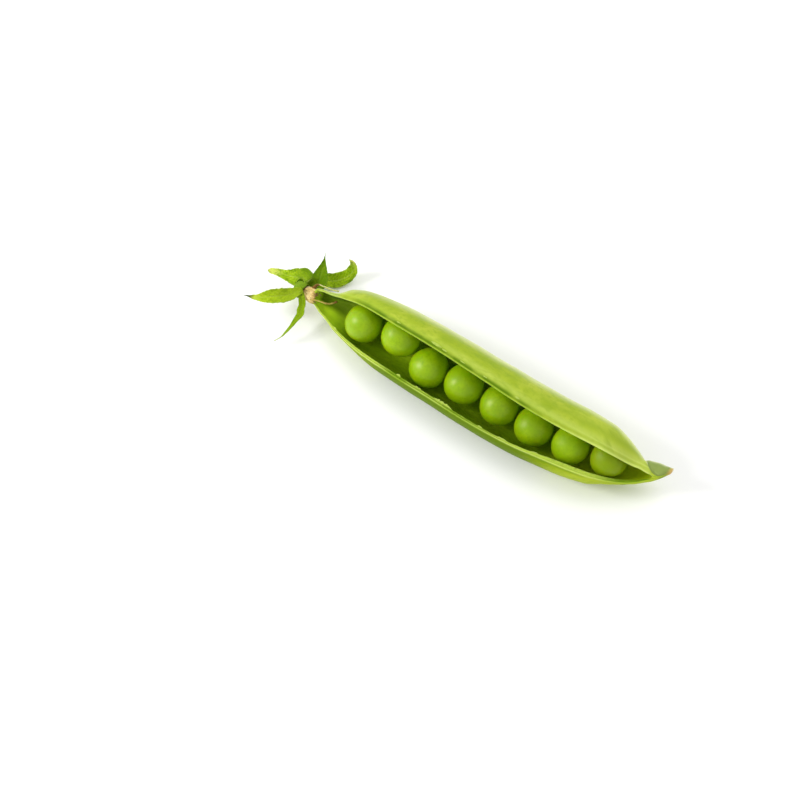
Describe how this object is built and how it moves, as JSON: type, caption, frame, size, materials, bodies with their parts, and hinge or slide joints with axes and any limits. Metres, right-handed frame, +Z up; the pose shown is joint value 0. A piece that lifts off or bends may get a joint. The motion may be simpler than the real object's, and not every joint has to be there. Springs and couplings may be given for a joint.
{
  "type": "pea pod",
  "caption": "Garden pea pod split open along one seam, with a row of round peas inside, a withered stamen sheath and a calyx of pointed sepals at the stalk end and a small beak at the tip.",
  "frame": {"origin": "on the table, under the middle of the whole pod's box", "axes": "+X runs along the pod from the stalk end to the beak, +Z is up, and the opening looks towards -Y and up"},
  "size_m": [0.11, 0.028, 0.0177],
  "materials": {
    "pod_wall": "fresh green plant skin, waxy and softly glossy",
    "pea": "fresh green seed coat, smooth with a soft shine",
    "sepal": "thin green leaf, matt and veined, drying to straw at the tips",
    "dry_sheath": "withered, papery and pale brown"
  },
  "bodies": {
    "root": {"pod_shell": "pod_wall", "pea_1": "pea", "pea_2": "pea", "pea_3": "pea", "pea_4": "pea", "pea_5": "pea", "pea_6": "pea", "pea_7": "pea", "pea_8": "pea", "calyx": "sepal", "stamen_sheath": "dry_sheath"}
  },
  "joints": []
}
